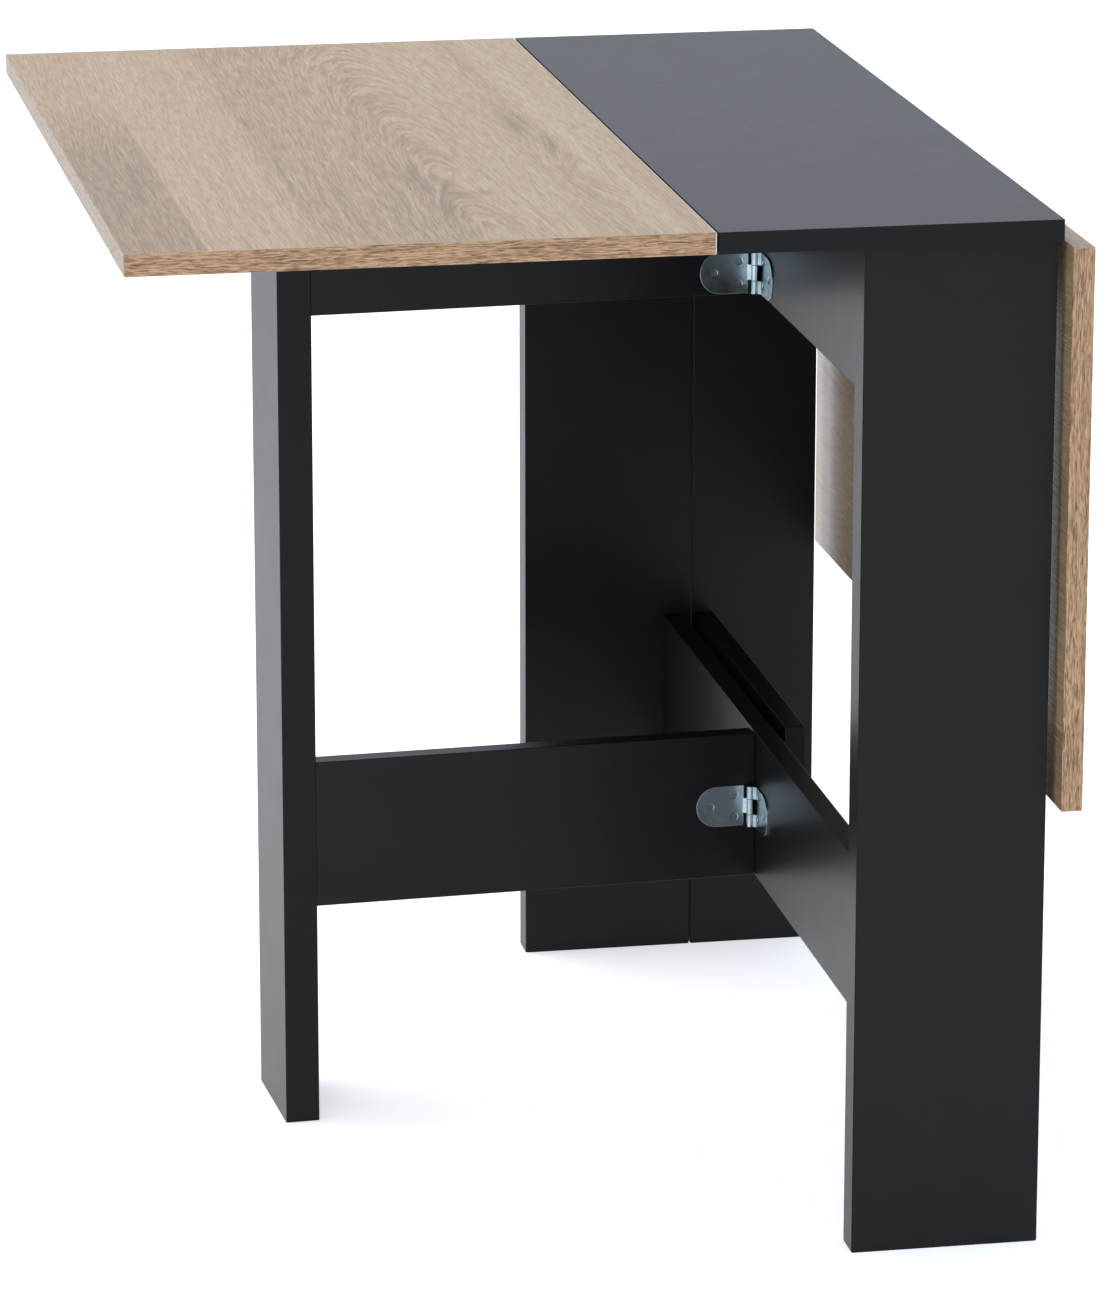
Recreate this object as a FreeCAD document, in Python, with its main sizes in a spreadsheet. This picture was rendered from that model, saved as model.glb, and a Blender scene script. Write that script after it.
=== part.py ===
"""Gateleg table: a fixed centre top on two end panels and two beams, a drop leaf on each side,
and two gates that swing out from the beams to carry the leaves.

The base turns into itself by half a turn about its vertical middle line: gate A serves leaf A on
the left (-X), gate B serves leaf B on the right (+X). The table stands as it is used for one
person: gate A is open with leaf A resting on it, gate B is closed with leaf B hanging.

Frame: +X to the right, +Y along the table towards the far end, +Z up. The origin is on the floor,
under the middle of the overall box of the table as it stands.
"""

import FreeCAD, Part
import math
import os
import re

import Sketcher

Vector = FreeCAD.Vector
Placement = FreeCAD.Placement
Rotation = FreeCAD.Rotation
X_AXIS = Vector(1, 0, 0)
Y_AXIS = Vector(0, 1, 0)
Z_AXIS = Vector(0, 0, 1)

# Driving dimensions in millimetres (degrees for the angle): alias, value, meaning.
DIMENSIONS = (
    ("table_height", 734, "floor to the upper face of the top"),
    ("table_depth", 760, "length of the top and of both leaves along Y"),
    ("center_width", 237, "width of the fixed centre top"),
    ("leaf_width", 395.5, "width of a leaf"),
    ("seam_gap", 1, "gap between the centre top and a raised leaf"),
    ("board", 15, "thickness of the top, leaves, beams and gate rails"),
    ("frame_board", 25, "thickness of the end panels and gate posts"),
    ("edging", 0.8, "thickness of the edge strips"),
    ("panel_setback", 16.5, "end panels stand back from the ends of the top"),
    ("panel_inner", 15, "an end panel reaches this far past the middle"),
    ("post_width", 99, "width of a gate post"),
    ("post_gap", 1, "gap between a closed gate post and its end panel"),
    ("post_relief", 0.5, "gap between a gate post and a raised leaf"),
    ("rail_height", 110, "height of the beams and of the lower gate rails"),
    ("rail_bottom", 166, "floor to the underside of the lower beam and rails"),
    ("rail_relief", 12, "upper gate rails stop short of the top's underside"),
    ("gate_angle", 87, "opening angle of gate A as it stands"),
    ("pivot_setback", 11, "gate pivots lie this far from the middle along Y"),
    ("stop_gap", 0.5, "gap between a rail's end and the beam, fully open"),
    ("hinge_offset", 5, "hinge axis to the board face behind a hinge plate"),
    ("leaf_pivot_out", 0.5, "leaf hinge axis lies outside the leaf's inner edge"),
    ("hinge_reach", 40, "hinge axis to the tip of a hinge plate"),
    ("hinge_size", 31, "height of a hinge along its axis"),
    ("hinge_plate", 1.2, "thickness of a hinge plate"),
    ("plate_start", 4, "hinge axis to the straight edge of its plate"),
    ("barrel_radius", 2.65, "outside radius of the hinge knuckles"),
    ("pin_radius", 1.25, "radius of the hinge pins"),
    ("pin_play", 0.05, "radial play of a pin in its knuckles"),
    ("middle_knuckle", 11.4, "length of the middle knuckle"),
    ("knuckle_gap", 0.2, "gap between two knuckles"),
    ("upper_hinge_lift", 1, "upper gate hinges sit above the rail's underside"),
    ("leaf_hinge_spacing", 250, "outer leaf hinges to the middle one"),
    ("screw_near", 11, "hinge axis to the two screws beside the barrel"),
    ("screw_spread", 8.5, "those two screws to the hinge's middle line"),
    ("screw_tip", 29.5, "hinge axis to the single screw at the tip"),
    ("screw_head_radius", 3, "hinge screw head, where its cone meets the plate's face"),
    ("screw_sink", 0.4, "hinge screw heads lie this deep in their countersinks"),
    ("screw_radius", 1.75, "hinge screw shank"),
    ("screw_length", 12, "hinge screw, head included"),
    ("screw_play", 0.05, "play around a screw"),
    ("dowel_radius", 4, "wooden dowels"),
    ("dowel_length", 28, "wooden dowels"),
    ("dowel_in_face", 9.5, "depth of a dowel in the board it stands on"),
    ("dowel_spread", 36, "dowels to the middle of a rail joint"),
    ("cam_radius", 7.5, "cam locks"),
    ("cam_depth", 12, "cam locks"),
    ("cam_distance", 24, "cam lock centre to the end of its board"),
    ("cam_mouth_radius", 3.6, "side hole of a cam lock"),
    ("bolt_radius", 2.5, "threaded end of a cam bolt"),
    ("bolt_neck_radius", 2, "neck of a cam bolt"),
    ("bolt_head_radius", 3.2, "head of a cam bolt"),
    ("bolt_in_face", 9.5, "depth of a cam bolt in the board it stands on"),
    ("bolt_past_cam", 1.5, "cam bolt's head past the cam lock's centre"),
    ("bore_play", 0.1, "play around dowels, cam locks and bolts"),
)

doc = FreeCAD.newDocument("GatelegTable")
sheet = doc.addObject("Spreadsheet::Sheet", "Dims")
for row, (alias, amount, meaning) in enumerate(DIMENSIONS, start=1):
    sheet.set(f"A{row}", alias)
    sheet.set(f"B{row}", str(amount))
    sheet.setAlias(f"B{row}", alias)
    sheet.set(f"C{row}", meaning)
doc.recompute()

SIZE = {alias: float(sheet.get(alias)) for alias, _, _ in DIMENSIONS}
nodes = {}


def cells(formula):
    """A formula in plain aliases, as an expression on the sheet's cells."""
    return re.sub(r"[a-z]+(_[a-z]+)*", lambda found: "Dims." + found.group(), formula)


def bind(item, **formulas):
    for name, formula in formulas.items():
        item.setExpression(name, cells(formula))


def moved(frame, x=0.0, y=0.0, z=0.0, rotation=None):
    """The placement at (x, y, z) of a frame, turned within it."""
    return frame.multiply(Placement(Vector(x, y, z), rotation or Rotation()))


# ---------------------------------------------------------------- places of the moving groups

UNDERSIDE = SIZE["table_height"] - SIZE["board"]
GATE_PIVOT_X = SIZE["board"] / 2 + SIZE["hinge_offset"]
LEAF_EDGE_X = SIZE["center_width"] / 2 + SIZE["seam_gap"]
LEAF_PIVOT_X = LEAF_EDGE_X + SIZE["leaf_pivot_out"]
LEAF_PIVOT_Z = UNDERSIDE - SIZE["hinge_offset"]
PANEL_OUTER_Y = SIZE["table_depth"] / 2 - SIZE["panel_setback"]
PANEL_INNER_Y = PANEL_OUTER_Y - SIZE["frame_board"]
GATE_LENGTH = PANEL_OUTER_Y - SIZE["pivot_setback"]
POST_START = SIZE["panel_inner"] + SIZE["post_gap"] - GATE_PIVOT_X

OPEN_LEAF_X = LEAF_EDGE_X + SIZE["leaf_width"]
HUNG_LEAF_X = LEAF_PIVOT_X + SIZE["hinge_offset"] + SIZE["board"]
BASE = Placement(Vector((OPEN_LEAF_X - HUNG_LEAF_X) / 2, 0, 0), Rotation())
HALF_TURN = moved(BASE, rotation=Rotation(Z_AXIS, 180))


def gate_frame(side, angle):
    """At the foot of a gate's pivot line: +X runs along its rails, -Y away from the beam."""
    turned = Rotation(Z_AXIS, 270 - angle)
    return moved(side, -GATE_PIVOT_X, -SIZE["pivot_setback"], 0, turned)


def leaf_frame(side, drop):
    """On a leaf's hinge axis: +X runs outwards under the leaf, +Z up through the raised leaf."""
    return moved(side, LEAF_PIVOT_X, 0, LEAF_PIVOT_Z, Rotation(Y_AXIS, drop))


GATES = {
    "gate_a": gate_frame(BASE, SIZE["gate_angle"]),
    "gate_b": gate_frame(HALF_TURN, 0),
}
GATE_HOMES = {"gate_a": BASE, "gate_b": HALF_TURN}
LEAVES = {"leaf_a": leaf_frame(HALF_TURN, 0), "leaf_b": leaf_frame(BASE, 90)}
LEAF_HOMES = {"leaf_a": leaf_frame(HALF_TURN, 0), "leaf_b": leaf_frame(BASE, 0)}


# ---------------------------------------------------------------- boards and their bores

blanks = {}
bores = {}


def box(name, place, length, width, height):
    solid = doc.addObject("Part::Box", name)
    bind(solid, Length=length, Width=width, Height=height)
    solid.Placement = place
    return solid


def board(name, place, length, width, height):
    """A plain board whose bores are cut once all its fittings are known."""
    blanks[name] = box(name + "_blank", place, length, width, height)
    bores[name] = []


def bore(board_name, place, radius, depth):
    """A round bore that starts at a placement and runs along its +Z."""
    tool = doc.addObject("Part::Cylinder", "bore")
    bind(tool, Radius=radius, Height=depth)
    tool.Placement = place
    bores[board_name].append(tool)


def cut_bores():
    for name, blank in blanks.items():
        tools = doc.addObject("Part::Compound", name + "_bores")
        tools.Links = bores[name]
        part = doc.addObject("Part::Cut", name)
        part.Base = blank
        part.Tool = tools
        nodes[name] = part


def group(name, solids):
    """Separate solids that share one node."""
    gathered = doc.addObject("Part::Compound", name)
    gathered.Links = solids
    nodes[name] = gathered


def copies(name, original, places):
    """Copies of one finished piece at several placements, in one node."""
    shapes = []
    for place in places:
        shape = original.Shape.copy()
        shape.Placement = place
        shapes.append(shape)
    part = doc.addObject("Part::Feature", name)
    part.Shape = shapes[0] if len(shapes) == 1 else Part.makeCompound(shapes)
    nodes[name] = part


# ---------------------------------------------------------------- sketch helpers


def plane_of(body, role):
    return next(item for item in body.Origin.OriginFeatures if item.Role == role)


def sketch_on(body, name, role, offset="0"):
    sketch = body.newObject("Sketcher::SketchObject", name)
    sketch.AttachmentSupport = [(plane_of(body, role), "")]
    sketch.MapMode = "FlatFace"
    sketch.setExpression("AttachmentOffset.Base.z", cells(offset))
    return sketch


def polygon(sketch, corners):
    """A closed outline through corners, each held by its own two distances."""
    first = len(sketch.Geometry)
    count = len(corners)
    for step, (x, y) in enumerate(corners):
        after = corners[(step + 1) % count]
        sketch.addGeometry(Part.LineSegment(Vector(x, y, 0), Vector(after[0], after[1], 0)), False)
    for step, (x, y) in enumerate(corners):
        line = first + step
        sketch.addConstraint(Sketcher.Constraint("Coincident", line, 2, first + (step + 1) % count, 1))
        sketch.addConstraint(Sketcher.Constraint("DistanceX", -1, 1, line, 1, x))
        sketch.addConstraint(Sketcher.Constraint("DistanceY", -1, 1, line, 1, y))


def circle(sketch, radius):
    """A circle about the sketch's origin, its radius bound to the sheet."""
    index = sketch.addGeometry(Part.Circle(Vector(0, 0, 0), Z_AXIS, 1.0), False)
    sketch.addConstraint(Sketcher.Constraint("Coincident", index, 3, -1, 1))
    held = sketch.addConstraint(Sketcher.Constraint("Radius", index, 1.0))
    sketch.setExpression(f"Constraints[{held}]", cells(radius))


def pad(body, name, sketch, length):
    feature = body.newObject("PartDesign::Pad", name)
    feature.Profile = sketch
    bind(feature, Length=length)
    return feature


def revolved(body, name, corners):
    """A turned piece: corners are (radius, height) pairs, turned about Z."""
    sketch = sketch_on(body, name + "_profile", "XZ_Plane")
    polygon(sketch, corners)
    feature = body.newObject("PartDesign::Revolution", name)
    feature.Profile = sketch
    feature.ReferenceAxis = (sketch, ["V_Axis"])
    feature.Angle = 360
    return feature


def cross_recess(body, name, top, depth, arm, slot):
    """A cross-shaped recess cut downwards from the height top, arms long by slot wide."""
    sketch = sketch_on(body, name + "_outline", "XY_Plane", top)
    polygon(
        sketch,
        [
            (arm, -slot), (arm, slot), (slot, slot), (slot, arm),
            (-slot, arm), (-slot, slot), (-arm, slot), (-arm, -slot),
            (-slot, -slot), (-slot, -arm), (slot, -arm), (slot, -slot),
        ],
    )
    feature = body.newObject("PartDesign::Pocket", name)
    feature.Profile = sketch
    feature.Length = depth
    return feature


# ---------------------------------------------------------------- small hardware, drawn once

SCREW_RECESS_DEPTH = 0.9
SCREW_RECESS_ARM = 1.6
SCREW_RECESS_SLOT = 0.35
SCREW_POINT = 3.0
CAM_RECESS_DEPTH = 1.6
CAM_RECESS_ARM = 4.0
CAM_RECESS_SLOT = 0.7
BOLT_HEAD = 3.0


def make_screw():
    """Countersunk wood screw, the point down: Z = 0 is the face that its head is sunk in."""
    head = SIZE["screw_head_radius"]
    sink = SIZE["screw_sink"]
    shank = SIZE["screw_radius"]
    length = SIZE["screw_length"]
    body = doc.addObject("PartDesign::Body", "HingeScrew")
    corners = [
        (0, -sink), (head - sink, -sink), (shank, shank - head), (shank, SCREW_POINT - length),
        (0, -length),
    ]
    revolved(body, "ScrewTurned", corners)
    cross_recess(
        body, "ScrewRecess", "-screw_sink", SCREW_RECESS_DEPTH, SCREW_RECESS_ARM, SCREW_RECESS_SLOT
    )
    return body


def make_cam_lock():
    """Cam lock: its face at Z = 0, the bolt comes in along +X at half the board's depth."""
    body = doc.addObject("PartDesign::Body", "CamLock")
    disc = sketch_on(body, "CamOutline", "XY_Plane", "-cam_depth")
    circle(disc, "cam_radius")
    pad(body, "CamDisc", disc, "cam_depth")
    cross_recess(body, "CamRecess", "0", CAM_RECESS_DEPTH, CAM_RECESS_ARM, CAM_RECESS_SLOT)
    mouth = doc.addObject("Part::Cylinder", "CamMouth")
    bind(mouth, Radius="cam_mouth_radius", Height="cam_radius + 2 * bolt_past_cam")
    mouth.Placement = Placement(
        Vector(-SIZE["cam_radius"], 0, -SIZE["board"] / 2), Rotation(Y_AXIS, 90)
    )
    lock = doc.addObject("Part::Cut", "CamLockBored")
    lock.Base = body
    lock.Tool = mouth
    return lock


def make_cam_bolt():
    """Cam bolt: the joint's face at Z = 0, the thread below it, the head above."""
    top = SIZE["cam_distance"] + SIZE["bolt_past_cam"]
    body = doc.addObject("PartDesign::Body", "CamBolt")
    corners = [
        (0, -SIZE["bolt_in_face"]),
        (SIZE["bolt_radius"], -SIZE["bolt_in_face"]),
        (SIZE["bolt_radius"], 0),
        (SIZE["bolt_neck_radius"], 0),
        (SIZE["bolt_neck_radius"], top - BOLT_HEAD),
        (SIZE["bolt_head_radius"], top - BOLT_HEAD),
        (SIZE["bolt_head_radius"], top),
        (0, top),
    ]
    revolved(body, "BoltTurned", corners)
    return body


def make_dowel():
    """Dowel: the joint's face at Z = 0."""
    dowel = doc.addObject("Part::Cylinder", "Dowel")
    bind(dowel, Radius="dowel_radius", Height="dowel_length")
    dowel.Placement = Placement(Vector(0, 0, -SIZE["dowel_in_face"]), Rotation())
    return dowel


def hinge_plate_outline(body):
    """D-shaped plate: straight along the barrel, a half circle at the tip."""
    half = SIZE["hinge_size"] / 2
    start = SIZE["plate_start"]
    turn = SIZE["hinge_reach"] - half
    sketch = sketch_on(body, "PlateOutline", "XZ_Plane", "hinge_offset - hinge_plate")
    lines = [((turn, half), (start, half)), ((start, half), (start, -half)), ((start, -half), (turn, -half))]
    for (x0, y0), (x1, y1) in lines:
        sketch.addGeometry(Part.LineSegment(Vector(x0, y0, 0), Vector(x1, y1, 0)), False)
    tip = Part.Circle(Vector(turn, 0, 0), Z_AXIS, half)
    sketch.addGeometry(Part.ArcOfCircle(tip, -math.pi / 2, math.pi / 2), False)
    sketch.addConstraint(Sketcher.Constraint("Coincident", 0, 2, 1, 1))
    sketch.addConstraint(Sketcher.Constraint("Coincident", 1, 2, 2, 1))
    sketch.addConstraint(Sketcher.Constraint("Tangent", 2, 2, 3, 1))
    sketch.addConstraint(Sketcher.Constraint("Tangent", 0, 1, 3, 2))
    sketch.addConstraint(Sketcher.Constraint("Vertical", 1))
    sketch.addConstraint(Sketcher.Constraint("Horizontal", 0))
    sketch.addConstraint(Sketcher.Constraint("PointOnObject", 3, 3, -1))
    radius = sketch.addConstraint(Sketcher.Constraint("Radius", 3, half))
    reach = sketch.addConstraint(Sketcher.Constraint("DistanceX", -1, 1, 3, 3, turn))
    root = sketch.addConstraint(Sketcher.Constraint("DistanceX", -1, 1, 1, 1, start))
    sketch.setExpression(f"Constraints[{radius}]", cells("hinge_size / 2"))
    sketch.setExpression(f"Constraints[{reach}]", cells("hinge_reach - hinge_size / 2"))
    sketch.setExpression(f"Constraints[{root}]", cells("plate_start"))
    return sketch


def knuckle(body, name, start, length):
    """One knuckle and the cranked neck that joins it to the plate, from the height start."""
    barrel = SIZE["barrel_radius"]
    sheet_metal = SIZE["hinge_plate"]
    offset = SIZE["hinge_offset"]
    root = SIZE["plate_start"]
    neck = sketch_on(body, name + "Neck", "XY_Plane", start)
    polygon(
        neck,
        [
            (0, -barrel), (barrel / 2, -barrel), (root, -offset), (root + sheet_metal / 2, -offset),
            (root + sheet_metal / 2, sheet_metal - offset),
            (barrel / 2 + sheet_metal / 2, sheet_metal - barrel), (0, sheet_metal - barrel),
        ],
    )
    neck_pad = pad(body, name + "NeckPad", neck, length)
    ring = sketch_on(body, name + "Ring", "XY_Plane", start)
    circle(ring, "barrel_radius")
    return [neck_pad, pad(body, name + "RingPad", ring, length)]


def hinge_body(name):
    body = doc.addObject("PartDesign::Body", name)
    pad(body, "Plate", hinge_plate_outline(body), "hinge_plate")
    return body


def pierced_hinge(body, name):
    """Cuts the pin's hole and the three countersinks, which no sketch plane faces alike."""
    hole = doc.addObject("Part::Cylinder", name + "PinHole")
    bind(hole, Radius="pin_radius + pin_play", Height="hinge_size")
    hole.Placement = Placement(Vector(0, 0, -SIZE["hinge_size"] / 2), Rotation())
    tools = [hole]
    for place in hinge_screw_places(Placement()):
        sink = doc.addObject("Part::Cone", name + "Countersink")
        bind(
            sink,
            Radius1="screw_head_radius - hinge_plate + screw_play",
            Radius2="screw_head_radius + screw_play",
            Height="hinge_plate",
        )
        sink.Placement = moved(place, 0, 0, -SIZE["hinge_plate"])
        tools.append(sink)
    cutters = doc.addObject("Part::Compound", name + "Cutters")
    cutters.Links = tools
    part = doc.addObject("Part::Cut", name)
    part.Base = body
    part.Tool = cutters
    return part


def hinge_screw_places(hinge):
    """The screws of one hinge plate: heads flush with its face, points into the board."""
    across = Rotation(X_AXIS, -90)
    front = SIZE["hinge_plate"] - SIZE["hinge_offset"]
    spots = [
        (SIZE["screw_near"], SIZE["screw_spread"]),
        (SIZE["screw_near"], -SIZE["screw_spread"]),
        (SIZE["screw_tip"], 0),
    ]
    return [moved(hinge, x, front, z, across) for x, z in spots]


def make_inner_hinge_plate():
    """The hinge half with the single middle knuckle."""
    body = hinge_body("InnerPlateBody")
    knuckle(body, "Middle", "-middle_knuckle / 2", "middle_knuckle")
    return pierced_hinge(body, "InnerPlate")


def make_outer_hinge_plate():
    """The hinge half with the two outer knuckles."""
    body = hinge_body("OuterPlateBody")
    start = "middle_knuckle / 2 + knuckle_gap"
    length = "hinge_size / 2 - middle_knuckle / 2 - knuckle_gap"
    upper = knuckle(body, "Outer", start, length)
    mirrored = body.newObject("PartDesign::Mirrored", "OuterMirrored")
    mirrored.Originals = upper
    mirrored.MirrorPlane = (plane_of(body, "XY_Plane"), [""])
    body.Tip = mirrored
    return pierced_hinge(body, "OuterPlate")


screw = make_screw()
cam_lock = make_cam_lock()
cam_bolt = make_cam_bolt()
dowel = make_dowel()
inner_plate = make_inner_hinge_plate()
outer_plate = make_outer_hinge_plate()
doc.recompute()


# ---------------------------------------------------------------- fittings

fittings = {}


def add_fitting(kind, owner, place):
    fittings.setdefault((kind, owner), []).append(place)


def screw_hinge(hinge, board_name, owner):
    """Screws a hinge plate to its board and drills the pilot holes."""
    for place in hinge_screw_places(hinge):
        add_fitting("hinge_screws", owner, place)
        pilot = moved(place, 0, 0, -SIZE["hinge_plate"], Rotation(X_AXIS, 180))
        bore(board_name, pilot, "screw_radius + screw_play", "screw_length - hinge_plate + screw_play")


def board_joint(joint, end_board, face_board, owner, dowel_spots, cam_spots):
    """Dowels and cam locks between the end of one board and the face of another.

    The joint frame lies on the shared face: +Z runs into end_board, the cam locks open towards
    +X at half a board's thickness, and the fittings are spread along Y.
    """
    for spot in dowel_spots:
        place = moved(joint, 0, spot, 0)
        add_fitting("dowels", owner, place)
        bore(end_board, place, "dowel_radius + bore_play", "dowel_length - dowel_in_face + bore_play")
        flipped = moved(place, rotation=Rotation(X_AXIS, 180))
        bore(face_board, flipped, "dowel_radius + bore_play", "dowel_in_face + bore_play")
    for spot in cam_spots:
        place = moved(joint, 0, spot, 0)
        add_fitting("cam_bolts", owner, place)
        bore(end_board, place, "bolt_head_radius + bore_play", "cam_distance")
        flipped = moved(place, rotation=Rotation(X_AXIS, 180))
        bore(face_board, flipped, "bolt_radius + bore_play", "bolt_in_face + bore_play")
        # The cam lock's own frame: its face outwards along the joint's +X, its mouth towards
        # the joint.
        turned = Rotation(Z_AXIS, Vector(0, -1, 0), X_AXIS, "ZXY")
        lock = moved(joint, SIZE["board"] / 2, spot, SIZE["cam_distance"], turned)
        add_fitting("cam_locks", owner, lock)
        pocket = moved(lock, rotation=Rotation(X_AXIS, 180))
        bore(end_board, pocket, "cam_radius + bore_play", "cam_depth + bore_play")


def hinge_frame(origin, plate_direction, back_direction):
    """A hinge plate's frame: +X along its plate, -Y towards the board behind it."""
    return origin.multiply(
        Placement(Vector(), Rotation(plate_direction, -back_direction, Vector(), "XYZ"))
    )


def hinge_pin(name, place):
    pin = doc.addObject("Part::Cylinder", name)
    bind(pin, Radius="pin_radius", Height="hinge_size")
    pin.Placement = moved(place, 0, 0, -SIZE["hinge_size"] / 2)
    return pin


# ---------------------------------------------------------------- the fixed frame

RAIL_DOWELS = (-SIZE["dowel_spread"], SIZE["dowel_spread"])
PANEL_DOWELS = (-48, 48)
PANEL_CAMS = (-22, 22)
PANEL_SPAN = SIZE["center_width"] / 2 + SIZE["panel_inner"]
PANEL_MIDDLE_X = SIZE["center_width"] / 2 - PANEL_SPAN / 2
UPPER_BEAM_BOTTOM = UNDERSIDE - SIZE["rail_height"]
BEAM_BOTTOMS = {"lower_beam": SIZE["rail_bottom"], "upper_beam": UPPER_BEAM_BOTTOM}


def make_top():
    half_width = SIZE["center_width"] / 2
    half_depth = SIZE["table_depth"] / 2
    strip = SIZE["edging"]
    board(
        "center_top",
        moved(BASE, strip - half_width, strip - half_depth, UNDERSIDE),
        "center_width - 2 * edging",
        "table_depth - 2 * edging",
        "board",
    )
    strips = []
    for side in (BASE, HALF_TURN):
        long_place = moved(side, half_width - strip, -half_depth, UNDERSIDE)
        strips.append(box("top_side_strip", long_place, "edging", "table_depth", "board"))
        end_place = moved(side, strip - half_width, -half_depth, UNDERSIDE)
        end = box("top_end_strip", end_place, "center_width - 2 * edging", "edging", "board")
        strips.append(end)
    group("center_top_edging", strips)


def make_end_panels():
    strip = SIZE["edging"]
    strips = []
    for name, side in (("near_end_panel", BASE), ("far_end_panel", HALF_TURN)):
        left = -SIZE["panel_inner"]
        board(
            name,
            moved(side, left + strip, -PANEL_OUTER_Y, 0),
            "center_width / 2 + panel_inner - 2 * edging",
            "frame_board",
            "table_height - board",
        )
        for x in (left, SIZE["center_width"] / 2 - strip):
            place = moved(side, x, -PANEL_OUTER_Y, 0)
            strips.append(box("panel_strip", place, "edging", "frame_board", "table_height - board"))
        top_joint = moved(
            side,
            PANEL_MIDDLE_X,
            -PANEL_INNER_Y - SIZE["board"] / 2,
            UNDERSIDE,
            Rotation(Y_AXIS, Vector(), Vector(0, 0, -1), "ZXY"),
        )
        board_joint(top_joint, name, "center_top", "frame", PANEL_DOWELS, PANEL_CAMS)
    group("end_panel_edging", strips)


def make_beams():
    strip = SIZE["edging"]
    strips = []
    for name, bottom in BEAM_BOTTOMS.items():
        lowest = bottom + strip
        height = "rail_height - edging" if name == "upper_beam" else "rail_height - 2 * edging"
        length = "table_depth - 2 * panel_setback - 2 * frame_board"
        corner = moved(BASE, -SIZE["board"] / 2, -PANEL_INNER_Y, lowest)
        board(name, corner, "board", length, height)
        strip_heights = [bottom]
        if name == "lower_beam":
            strip_heights.append(bottom + SIZE["rail_height"] - strip)
        for z in strip_heights:
            place = moved(BASE, -SIZE["board"] / 2, -PANEL_INNER_Y, z)
            strips.append(box("beam_strip", place, "board", length, "edging"))
        for panel, end, inwards in (
            ("near_end_panel", -PANEL_INNER_Y, Y_AXIS),
            ("far_end_panel", PANEL_INNER_Y, -Y_AXIS),
        ):
            turned = Rotation(X_AXIS, Vector(), inwards, "ZXY")
            joint = moved(BASE, 0, end, bottom + SIZE["rail_height"] / 2, turned)
            board_joint(joint, name, panel, "frame", RAIL_DOWELS, (0,))
    group("beam_edging", strips)


# ---------------------------------------------------------------- gates

UPPER_RAIL_TOP = UNDERSIDE - SIZE["rail_relief"]
RAIL_START = SIZE["stop_gap"] - SIZE["hinge_offset"]
RAIL_LENGTH = "table_depth / 2 - panel_setback - pivot_setback - frame_board + hinge_offset - stop_gap"
GATE_RAILS = {
    "lower": (SIZE["rail_bottom"], SIZE["rail_height"], "rail_height", True),
    "upper": (
        UPPER_BEAM_BOTTOM,
        UPPER_RAIL_TOP - UPPER_BEAM_BOTTOM,
        "rail_height - rail_relief",
        False,
    ),
}
LOWER_HINGE_Z = SIZE["rail_bottom"] + SIZE["rail_height"] / 2
UPPER_HINGE_Z = UPPER_BEAM_BOTTOM + SIZE["upper_hinge_lift"] + SIZE["hinge_size"] / 2
GATE_HINGES = {"lower": LOWER_HINGE_Z, "upper": UPPER_HINGE_Z}


def make_gate_post(gate, frame):
    strip = SIZE["edging"]
    inner = GATE_LENGTH - SIZE["frame_board"]
    outer_edge = -POST_START - SIZE["post_width"]
    height = "table_height - board - post_relief"
    board(
        gate + "_post",
        moved(frame, inner, outer_edge + strip, 0),
        "frame_board",
        "post_width - 2 * edging",
        height,
    )
    strips = []
    for y in (outer_edge, -POST_START - strip):
        strips.append(box("post_strip", moved(frame, inner, y, 0), "frame_board", "edging", height))
    group(gate + "_post_edging", strips)


def make_gate_rails(gate, frame):
    strip = SIZE["edging"]
    rail_face = -SIZE["hinge_offset"] - SIZE["board"]
    strips = []
    for level, (bottom, height, height_formula, top_strip) in GATE_RAILS.items():
        name = f"{gate}_{level}_rail"
        banded = " - 2 * edging" if top_strip else " - edging"
        corner = moved(frame, RAIL_START, rail_face, bottom + strip)
        board(name, corner, RAIL_LENGTH, "board", height_formula + banded)
        strip_heights = [bottom]
        if top_strip:
            strip_heights.append(bottom + height - strip)
        for z in strip_heights:
            place = moved(frame, RAIL_START, rail_face, z)
            strips.append(box("rail_strip", place, RAIL_LENGTH, "board", "edging"))
        joint = moved(
            frame,
            GATE_LENGTH - SIZE["frame_board"],
            rail_face + SIZE["board"] / 2,
            bottom + height / 2,
            Rotation(-Y_AXIS, Vector(), -X_AXIS, "ZXY"),
        )
        board_joint(joint, name, gate + "_post", gate, RAIL_DOWELS, (0,))
    group(gate + "_rail_edging", strips)


def make_gate_hinges(gate, frame):
    """Hinge plates on the rails (middle knuckle) and on the beams (outer knuckles)."""
    home = GATE_HOMES[gate]
    for level, z in GATE_HINGES.items():
        rail_hinge = hinge_frame(moved(frame, 0, 0, z), X_AXIS, -Y_AXIS)
        copies(f"{gate}_{level}_hinge_rail_plate", inner_plate, [rail_hinge])
        screw_hinge(rail_hinge, f"{gate}_{level}_rail", gate)
        pivot = moved(home, -GATE_PIVOT_X, -SIZE["pivot_setback"], z)
        beam_hinge = hinge_frame(pivot, -Y_AXIS, X_AXIS)
        copies(f"{gate}_{level}_hinge_beam_plate", outer_plate, [beam_hinge])
        screw_hinge(beam_hinge, f"{level}_beam", "beam")
        pin_name = f"{gate}_{level}_hinge_pin"
        nodes[pin_name] = hinge_pin(pin_name, pivot)


# ---------------------------------------------------------------- leaves


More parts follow.
